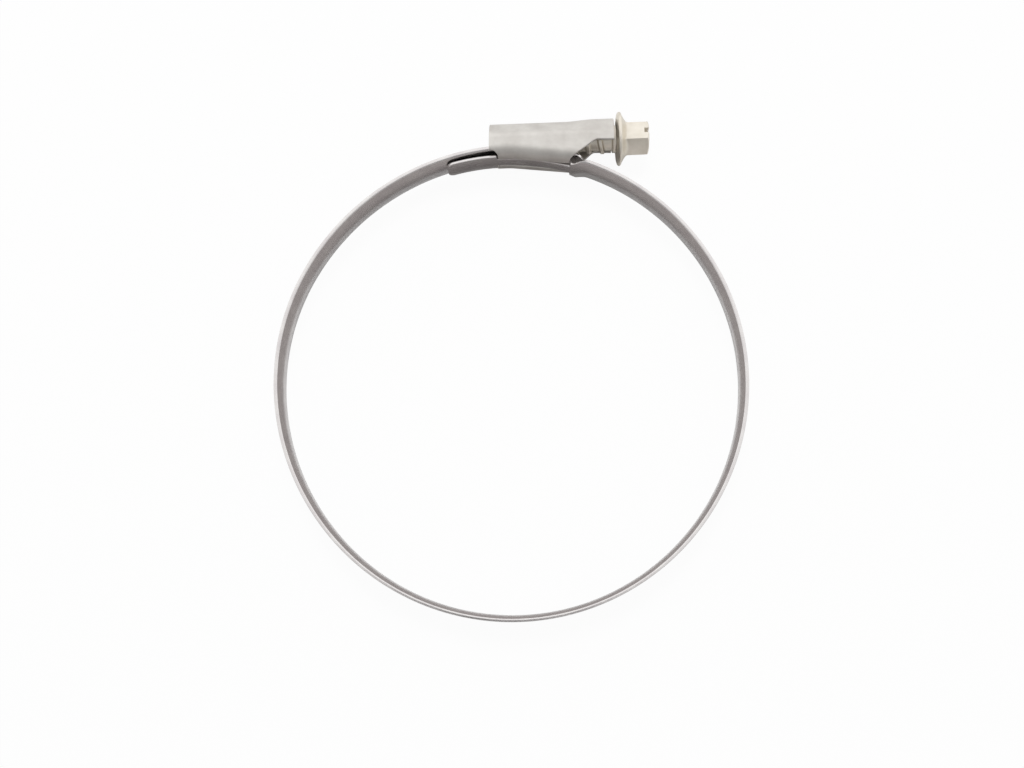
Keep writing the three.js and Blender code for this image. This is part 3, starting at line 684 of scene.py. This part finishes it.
def housing_sheet():
    """One pressed sheet, wrapped from lip to lip over the worm, with a rounded edge all round."""
    end_turn = np.radians([90, 60, 30])
    end_inset = pressed_edge * (1 - np.sin(end_turn))
    end_thinned = pressed_edge * (1 - np.cos(end_turn))
    places = np.concatenate([
        housing_from + end_inset,
        np.linspace(housing_from + pressed_edge, lip_from - 0.2 * mm, 16),
        np.linspace(lip_from - cut_step / 2, lip_from + cut_step / 2, 9),
        np.linspace(lip_from + 0.25 * mm, exit_from - 0.25 * mm, 50),
        np.linspace(exit_from - cut_step / 2, exit_from + cut_step / 2, 9),
        np.linspace(exit_from + 0.25 * mm, housing_to - pressed_edge, 60),
        housing_to - end_inset[::-1],
    ])
    thinned = np.zeros(len(places))
    thinned[:3] = end_thinned
    thinned[-3:] = end_thinned[::-1]
    mirror = (-1, 1)
    rings, uv = [], []
    for x, less in zip(places, thinned):
        near, outer, inner, rim = half_sheet(x, exit_drop, less)
        far, far_outer, far_inner, far_rim = half_sheet(x, far_exit_drop, less)
        # Half the near rim, the inner face up and down, the far rim, and the outer face back.
        outline = np.vstack([
            rim[3:], inner[::-1], (far_inner * mirror)[1:], (far_rim * mirror)[::-1],
            (far_outer * mirror)[::-1], outer[1:], rim[:3]])
        near_run = section_shares * near
        far_run = section_shares * far
        across = np.concatenate([
            np.full(3, near), near_run[::-1], -far_run[1:], np.full(6, -far),
            -far_run[::-1], near_run[1:], np.full(3, near)])
        rings.append(np.stack([np.full(len(outline), x), outline[:, 1], outline[:, 0]], -1))
        uv.append(np.stack([np.full(len(across) + 1, x), np.append(across, across[0])], -1))
    return finished(lofted("housing_sheet", np.array(rings), np.array(uv), housing_steel))


# ---- screw -------------------------------------------------------------------------------------------------
def worm_place():
    """From the screw's own frame, whose +Z runs to the head and +X to the band, into the object's."""
    to_band = Vector((worm_along.y, -worm_along.x, 0))
    turn = Matrix((to_band, Vector((0, 0, -1)), worm_along)).transposed().to_4x4()
    return Matrix.Translation(worm_foot) @ turn


def screw_profile():
    """Radius and place of the round part's outline, from the worm's end to the flange's edge."""
    end_edge = [
        (core_radius - core_chamfer * (1 - math.sin(a)), worm_from + core_chamfer * (1 - math.cos(a)))
        for a in np.linspace(0.2, math.pi / 2, 5)]
    core = [(core_radius, z) for z in np.linspace(worm_from + 2 * core_chamfer, thread_to, 24)]
    widening = [
        (core_radius + (shank_radius - core_radius) * ease(t), thread_to + shank_step * t)
        for t in np.linspace(0, 1, 6)[1:]]
    shank = [(shank_radius, z) for z in np.linspace(thread_to + 0.5 * mm, dome_from - flange_fillet, 4)]
    fillet = [
        (shank_radius + flange_fillet * (1 - math.cos(a)), dome_from - flange_fillet * (1 - math.sin(a)))
        for a in np.linspace(0.3, math.pi / 2, 4)]
    dome = [
        (shank_radius + flange_fillet + dome_reach * share, dome_from + dome_fall * share ** 1.4)
        for share in (0.2, 0.4, 0.6, 0.8, 0.95)]
    dome_edge = [
        (flange_radius - dome_edge_in * (1 - math.sin(a)),
         dome_edge_from + dome_edge_along * (1 - math.cos(a)))
        for a in np.linspace(0.2, math.pi / 2, 11)]
    far_edge = [
        (flange_radius - flange_edge * (1 - math.cos(a)),
         flange_from + flange_rim - flange_edge * (1 - math.sin(a)))
        for a in np.linspace(0, math.pi / 2, 7)]
    end_face = [(0.4 * core_radius, worm_from), (core_radius - core_chamfer, worm_from)]
    return [*end_face, *end_edge, *core, *widening, *shank, *fillet, *dome, *dome_edge, *far_edge]


def screw_body():
    """Core, shank, flange and hexagon as one surface round the axis."""
    columns = 180
    around = np.linspace(0, 2 * math.pi, columns, endpoint=False)

    def ring_at(z, radius):
        return np.stack([radius * np.cos(around), radius * np.sin(around), np.full(columns, z)], -1)

    rings = [ring_at(z, radius) for radius, z in screw_profile()]
    side = math.pi / 3
    away = np.abs((around + math.pi / 2 - hex_turn) % side)
    flats = soft_min(head_apothem / np.cos(away - side / 2),
                     head_apothem / np.cos(np.minimum(away, side - away) + side / 2), 0.12 * mm)
    flare_from = flange_from + flange_rim
    flare_top = flange_radius - flange_edge
    end_radius = head_apothem - chamfer_inset
    for z in flare_from + (head_to - flare_from) * np.linspace(0.01, 1, 90):
        t = (z - flare_from) / flare_length
        flare = flare_foot + (flare_top - flare_foot) * max(0, 1 - t) ** 2.1
        cone = end_radius + (head_to - z) / math.tan(chamfer_angle)
        rings.append(ring_at(z, soft_max(soft_min(flats, cone, 0.1 * mm), flare, 0.35 * mm)))
    for share in (0.85, 0.6, 0.3):
        rings.append(ring_at(head_to, end_radius * share))
    rings = np.array(rings)
    steps = np.linalg.norm(np.diff(rings[:, 0], axis=0), axis=1)
    run = np.concatenate([[0], np.cumsum(steps)])
    girth = np.linspace(0, 1, columns + 1) * 2 * math.pi * worm_radius
    uv = np.stack(np.broadcast_arrays(girth[None, :], run[:, None]), -1)
    return lofted("screw", rings, uv, screw_steel)


thread_sizes = {
    "Pitch": thread_pitch, "Turns": 0.0, "Core radius": core_radius, "Depth": worm_radius - core_radius,
    "Foot half": 0.0, "Crest half": crest_half, "Sink": 0.12 * mm, "Fade": 0.2, "Rise from": 0.2,
    "Corner": 0.14 * mm, "Steel": screw_steel,
}


def thread_roller():
    """A right-hand thread of trapezoid section, sunk a little into its core. Fade is the part of a turn over
    which it rises to full size at each end, from the share that Rise from gives."""
    tree, size = node_group("roll_thread", thread_sizes)
    length = add(tree, "ShaderNodeMath", {0: size["Pitch"], 1: size["Turns"]}, operation="MULTIPLY")
    foot = add(tree, "ShaderNodeMath", {0: size["Core radius"], 1: size["Sink"]}, operation="SUBTRACT")
    helix = add(tree, "GeometryNodeCurveSpiral", {
        "Resolution": 72, "Rotations": size["Turns"], "Start Radius": foot, "End Radius": foot,
        "Height": length, "Reverse": True})
    helix = add(tree, "GeometryNodeSetCurveNormal", {"Curve": helix}, mode="Z_UP")
    share = add(tree, "GeometryNodeSplineParameter").outputs["Factor"]
    done = add(tree, "ShaderNodeMath", {0: share, 1: size["Turns"]}, operation="MULTIPLY")
    left = add(tree, "ShaderNodeMath", {0: size["Turns"], 1: done}, operation="SUBTRACT")
    nearest = add(tree, "ShaderNodeMath", {0: done, 1: left}, operation="MINIMUM")
    risen = add(tree, "ShaderNodeMapRange", {
        0: nearest, 1: 0.0, 2: size["Fade"], 3: size["Rise from"], 4: 1.0}, interpolation_type="SMOOTHSTEP")
    wide = add(tree, "ShaderNodeMath", {0: size["Foot half"], 1: 2.0}, operation="MULTIPLY")
    narrow = add(tree, "ShaderNodeMath", {0: size["Crest half"], 1: 2.0}, operation="MULTIPLY")
    tall = add(tree, "ShaderNodeMath", {0: size["Depth"], 1: size["Sink"]}, operation="ADD")
    section = add(tree, "GeometryNodeCurvePrimitiveQuadrilateral", {
        "Bottom Width": wide, "Top Width": narrow, "Offset": 0.0, "Height": tall}, mode="TRAPEZOID")
    lifted = add(tree, "ShaderNodeMath", {0: tall, 1: 0.5}, operation="MULTIPLY")
    section = add(tree, "GeometryNodeTransform", {
        "Geometry": section, "Translation": add(tree, "ShaderNodeCombineXYZ", {"X": lifted}),
        "Rotation": (0, 0, -math.pi / 2)})
    section = add(tree, "GeometryNodeFilletCurve", {
        "Curve": section, "Count": 4, "Radius": size["Corner"], "Limit Radius": True}, mode="POLY")
    ridge = add(tree, "GeometryNodeCurveToMesh", {
        "Curve": helix, "Profile Curve": section, "Scale": risen, "Fill Caps": True})
    close_tree(tree, ridge, size["Steel"])
    return tree


def rolled_ridge():
    """The thread, in the screw's own frame. Where the worm bites deepest, its crest points at the band."""
    foot_half = crest_half + (worm_radius - core_radius + thread_sizes["Sink"]) * flank_slope
    start = worm_from + core_chamfer + foot_half
    turns = (thread_to - foot_half - start) / thread_pitch
    ridge = in_scene("ridge", bpy.data.meshes.new("ridge"))
    run_tree(ridge, thread_roller(), {**thread_sizes, "Turns": turns, "Foot half": foot_half})
    finished(ridge)
    turned = Matrix.Rotation(start / thread_pitch * 2 * math.pi, 4, "Z")
    ridge.data.transform(Matrix.Translation((0, 0, start)) @ turned)
    return ridge


def slot_cutter():
    """A block as wide as the slot, set across the hexagon's end."""
    mesh = bpy.data.meshes.new("cutter")
    work = bmesh.new()
    bmesh.ops.create_cube(work, size=1)
    work.to_mesh(mesh)
    work.free()
    across = Matrix.Rotation(-math.pi / 2 + hex_turn - math.pi / 6, 4, "Z")
    size = Matrix.Diagonal((4 * head_apothem, slot_width, 2 * slot_depth, 1))
    mesh.transform(Matrix.Translation((0, 0, head_to)) @ across @ size)
    return in_scene("cutter", mesh)


def cut_or_join(piece, other, operation):
    """Cuts another solid out of a piece or joins it to the piece, and takes the other away."""
    modifier = piece.modifiers.new(operation.lower(), "BOOLEAN")
    modifier.operation = operation
    modifier.solver = "EXACT"
    modifier.object = other
    finished(piece)
    bpy.data.objects.remove(other)


def worm_screw():
    """The whole screw: its body, the thread rolled on to it, and the slot."""
    piece = screw_body()
    cut_or_join(piece, rolled_ridge(), "UNION")
    cut_or_join(piece, slot_cutter(), "DIFFERENCE")
    piece.data.transform(worm_place())
    return piece


# ---- the pieces on their bodies ----------------------------------------------------------------------------
strip = ring_strip()
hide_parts("band")
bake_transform(strip)

threaded = threaded_strip()
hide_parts("band_threaded_end")
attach(threaded, "drawn_end")

housing = housing_sheet()
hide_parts("housing")
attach(housing, "ring")

screw = worm_screw()
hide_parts("worm_screw")
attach(screw, "screw")


# ---- studio ------------------------------------------------------------------------------------------------
def white_share(tree, seen, mirrored):
    """The share of plain white in a backdrop: seen for the camera's own rays, mirrored for those off or
    through a piece."""
    path = add(tree, "ShaderNodeLightPath")
    either = add(tree, "ShaderNodeMath", {
        0: path.outputs["Is Glossy Ray"], 1: path.outputs["Is Transmission Ray"]}, operation="MAXIMUM")
    share = add(tree, "ShaderNodeMath", {0: either, 1: mirrored}, operation="MULTIPLY")
    return add(tree, "ShaderNodeMath", {
        0: path.outputs["Is Camera Ray"], 1: seen, 2: share}, operation="MULTIPLY_ADD")


def floor():
    """White paper on the table, just under the clamp."""
    half = 1.5
    low = cad_box[0].z - 0.02 * mm
    corners = [(-half, -half, low), (half, -half, low), (half, half, low), (-half, half, low)]
    mesh = bpy.data.meshes.new("floor")
    mesh.from_pydata(corners, [], [(0, 1, 2, 3)])
    paper = bpy.data.materials.new("white_paper")
    paper.use_nodes = True
    tree = paper.node_tree
    tree.nodes.clear()
    matt = add(tree, "ShaderNodeBsdfDiffuse", {"Color": linear("#cccccc")})
    white = add(tree, "ShaderNodeEmission", {"Color": (1, 1, 1, 1), "Strength": 1})
    mixed = add(tree, "ShaderNodeMixShader", {0: white_share(tree, 0.95, 0.02), 1: matt, 2: white})
    add(tree, "ShaderNodeOutputMaterial", {"Surface": mixed})
    mesh.materials.append(paper)
    in_scene("floor", mesh)


def sky():
    """A soft room: bright overhead and behind the housing, dimmer towards the viewer."""
    world = bpy.data.worlds.new("studio")
    world.use_nodes = True
    tree = world.node_tree
    tree.nodes.clear()
    way = add(tree, "ShaderNodeSeparateXYZ", {0: add(tree, "ShaderNodeTexCoord").outputs["Generated"]})
    back = add(tree, "ShaderNodeMapRange", {
        0: way.outputs["Y"], 1: -1, 2: 0.45, 3: 0.36, 4: 1.1}, interpolation_type="SMOOTHSTEP")
    room = add(tree, "ShaderNodeBackground", {"Color": (1, 1, 1, 1), "Strength": back})
    white = add(tree, "ShaderNodeBackground", {"Color": (1, 1, 1, 1), "Strength": 1})
    camera_ray = add(tree, "ShaderNodeLightPath").outputs["Is Camera Ray"]
    mixed = add(tree, "ShaderNodeMixShader", {0: camera_ray, 1: room, 2: white})
    add(tree, "ShaderNodeOutputWorld", {"Surface": mixed})
    bpy.context.scene.world = world


def grey_card(name, centre, radius, colour):
    """A round card out of the picture, which only darkens what the steel mirrors. The one over the ring
    stands for the camera. The one in the ring is painted shade, for the floor that the clamp's shadow
    darkens.
    """
    corners = 64
    around = np.linspace(0, 2 * math.pi, corners, endpoint=False)
    x, y, z = centre
    rim = [(x + radius * math.cos(a), y + radius * math.sin(a), z) for a in around]
    mesh = bpy.data.meshes.new(name)
    mesh.from_pydata(rim, [], [range(corners)])
    camera_and_shade_paint = bpy.data.materials.new(name)
    camera_and_shade_paint.use_nodes = True
    camera_and_shade_paint.node_tree.nodes.clear()
    matt = add(camera_and_shade_paint.node_tree, "ShaderNodeBsdfDiffuse", {"Color": linear(colour)})
    add(camera_and_shade_paint.node_tree, "ShaderNodeOutputMaterial", {"Surface": matt})
    mesh.materials.append(camera_and_shade_paint)
    card = in_scene(name, mesh)
    card.visible_camera = False
    card.visible_diffuse = False
    card.visible_shadow = False


def lamp(name, place, size, power):
    """A square lamp that looks at the ring's middle and lights the clamp, but isn't mirrored in it."""
    light = bpy.data.lights.new(name, "AREA")
    light.shape = "RECTANGLE"
    light.size, light.size_y = size
    light.energy = power
    obj = in_scene(name, light)
    obj.location = place
    obj.rotation_euler = (-Vector(place)).to_track_quat("-Z", "Y").to_euler()
    obj.visible_glossy = False


def photo_camera():
    """Looks straight down from above the ring's lower half, as the clamp was photographed. The foot is the
    pixel that lies straight under the camera."""
    pixels_wide, pixels_high = 1024, 768
    focal_pixels = 985
    foot_x, foot_y = 536, 548
    lens = bpy.data.cameras.new("camera")
    lens.sensor_width = 36
    lens.lens = lens.sensor_width * focal_pixels / pixels_wide
    lens.shift_x = (pixels_wide / 2 - foot_x) / pixels_wide
    lens.shift_y = (foot_y - pixels_high / 2) / pixels_wide
    lens.clip_start = 10 * mm
    camera = in_scene("camera", lens)
    camera.location = (5.52 * mm, -37.1 * mm, 228 * mm)
    bpy.context.scene.camera = camera


floor()
sky()
grey_card("camera_overhead", (-12 * mm, -66 * mm, 240 * mm), 48 * mm, "#3a3a3c")
# Painted shade: a grey disc that only the steel mirrors, standing in for the floor inside the ring where the
# clamp's shadow falls.
grey_card("painted_shade_in_the_ring", (0, 0, cad_box[0].z + 0.2 * mm), 51 * mm, "#959190")
lamp("softbox", (0, 0.3, 0.58), (0.2, 0.2), 2.3)
photo_camera()
bpy.context.scene.view_settings.view_transform = "Standard"
